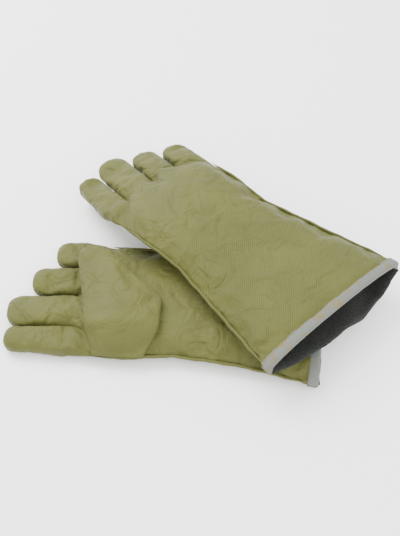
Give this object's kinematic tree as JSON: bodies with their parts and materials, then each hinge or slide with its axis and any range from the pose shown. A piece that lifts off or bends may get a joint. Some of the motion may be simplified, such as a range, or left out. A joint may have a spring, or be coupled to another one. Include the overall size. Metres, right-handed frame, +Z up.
{
  "type": "cryogenic gloves",
  "caption": "Pair of thickly padded gauntlet gloves for handling very cold things, lying crossed, one palm up and one palm down.",
  "frame": {"origin": "middle of the bounding box, at the surface the gloves lie on", "axes": "+Z up; X along the lower glove, its fingertips towards -X and its mouth towards +X; +Y away from the lower glove's index side"},
  "size_m": [0.471, 0.349, 0.0739],
  "materials": {
    "palm_cloth": "smooth coated twill, olive khaki",
    "ribbed_cloth": "finely ribbed weave, olive khaki",
    "wadding": "felted off-white wadding",
    "fleece": "dark grey fleece",
    "binding_tape": "light grey woven tape with yellow stitching"
  },
  "bodies": {
    "lower_glove": {"lower_gauntlet_palm_shell": "palm_cloth", "lower_gauntlet_back_shell": "ribbed_cloth", "lower_palm_shell": "palm_cloth", "lower_palm_insulation": "wadding", "lower_palm_lining": "fleece", "lower_back_shell": "palm_cloth", "lower_back_insulation": "wadding", "lower_back_lining": "fleece", "lower_cuff_binding": "binding_tape"},
    "upper_glove": {"upper_gauntlet_palm_shell": "palm_cloth", "upper_gauntlet_back_shell": "ribbed_cloth", "upper_palm_shell": "palm_cloth", "upper_palm_insulation": "wadding", "upper_palm_lining": "fleece", "upper_back_shell": "palm_cloth", "upper_back_insulation": "wadding", "upper_back_lining": "fleece", "upper_cuff_binding": "binding_tape"},
    "lower_index_finger": {"lower_index_shell": "palm_cloth", "lower_index_insulation": "wadding", "lower_index_lining": "fleece"},
    "lower_middle_finger": {"lower_middle_shell": "palm_cloth", "lower_middle_insulation": "wadding", "lower_middle_lining": "fleece"},
    "lower_ring_finger": {"lower_ring_shell": "palm_cloth", "lower_ring_insulation": "wadding", "lower_ring_lining": "fleece"},
    "lower_little_finger": {"lower_little_shell": "palm_cloth", "lower_little_insulation": "wadding", "lower_little_lining": "fleece"},
    "lower_thumb_stall": {"lower_thumb_shell": "palm_cloth", "lower_thumb_insulation": "wadding", "lower_thumb_lining": "fleece"},
    "upper_index_finger": {"upper_index_shell": "palm_cloth", "upper_index_insulation": "wadding", "upper_index_lining": "fleece"},
    "upper_middle_finger": {"upper_middle_shell": "palm_cloth", "upper_middle_insulation": "wadding", "upper_middle_lining": "fleece"},
    "upper_ring_finger": {"upper_ring_shell": "palm_cloth", "upper_ring_insulation": "wadding", "upper_ring_lining": "fleece"},
    "upper_little_finger": {"upper_little_shell": "palm_cloth", "upper_little_insulation": "wadding", "upper_little_lining": "fleece"},
    "upper_thumb_stall": {"upper_thumb_shell": "palm_cloth", "upper_thumb_insulation": "wadding", "upper_thumb_lining": "fleece"}
  },
  "joints": [
    {"name": "upper_glove_lift", "type": "slide", "parent": "lower_glove", "child": "upper_glove", "axis": [0, 0, 1], "range_m": [0, 0.25]},
    {"name": "lower_index_bend", "type": "hinge", "parent": "lower_glove", "child": "lower_index_finger", "pos_m": [-0.15188, -0.1366, 0.023], "axis": [-0.0523, 0.9986, 0], "range_deg": [0, 60]},
    {"name": "lower_middle_bend", "type": "hinge", "parent": "lower_glove", "child": "lower_middle_finger", "pos_m": [-0.15388, -0.0937, 0.023], "axis": [-0.1045, 0.9945, 0], "range_deg": [0, 60]},
    {"name": "lower_ring_bend", "type": "hinge", "parent": "lower_glove", "child": "lower_ring_finger", "pos_m": [-0.15288, -0.0497, 0.023], "axis": [-0.1045, 0.9945, 0], "range_deg": [0, 60]},
    {"name": "lower_little_bend", "type": "hinge", "parent": "lower_glove", "child": "lower_little_finger", "pos_m": [-0.15288, -0.0077, 0.023], "axis": [-0.0958, 0.9954, 0], "range_deg": [0, 30]},
    {"name": "lower_thumb_fold", "type": "hinge", "parent": "lower_glove", "child": "lower_thumb_stall", "pos_m": [-0.08588, -0.14642, 0.0276], "axis": [1, 0, 0], "range_deg": [0, 115]},
    {"name": "upper_index_bend", "type": "hinge", "parent": "upper_glove", "child": "upper_index_finger", "pos_m": [-0.12201, 0.04117, 0.06015], "axis": [0.7479, 0.6617, 0.0521], "range_deg": [0, 20]},
    {"name": "upper_middle_bend", "type": "hinge", "parent": "upper_glove", "child": "upper_middle_finger", "pos_m": [-0.09779, 0.07664, 0.05883], "axis": [0.7481, 0.6618, 0.0489], "range_deg": [0, 20]},
    {"name": "upper_ring_bend", "type": "hinge", "parent": "upper_glove", "child": "upper_ring_finger", "pos_m": [-0.07135, 0.11007, 0.05697], "axis": [0.769, 0.6391, -0.0115], "range_deg": [0, 20]},
    {"name": "upper_little_bend", "type": "hinge", "parent": "upper_glove", "child": "upper_little_finger", "pos_m": [-0.04759, 0.1416, 0.05361], "axis": [0.7631, 0.6462, -0.0145], "range_deg": [0, 20]},
    {"name": "upper_thumb_swing", "type": "hinge", "parent": "upper_glove", "child": "upper_thumb_stall", "pos_m": [-0.07547, -0.00673, 0.04726], "axis": [0, 0, -1], "range_deg": [0, 10]}
  ]
}
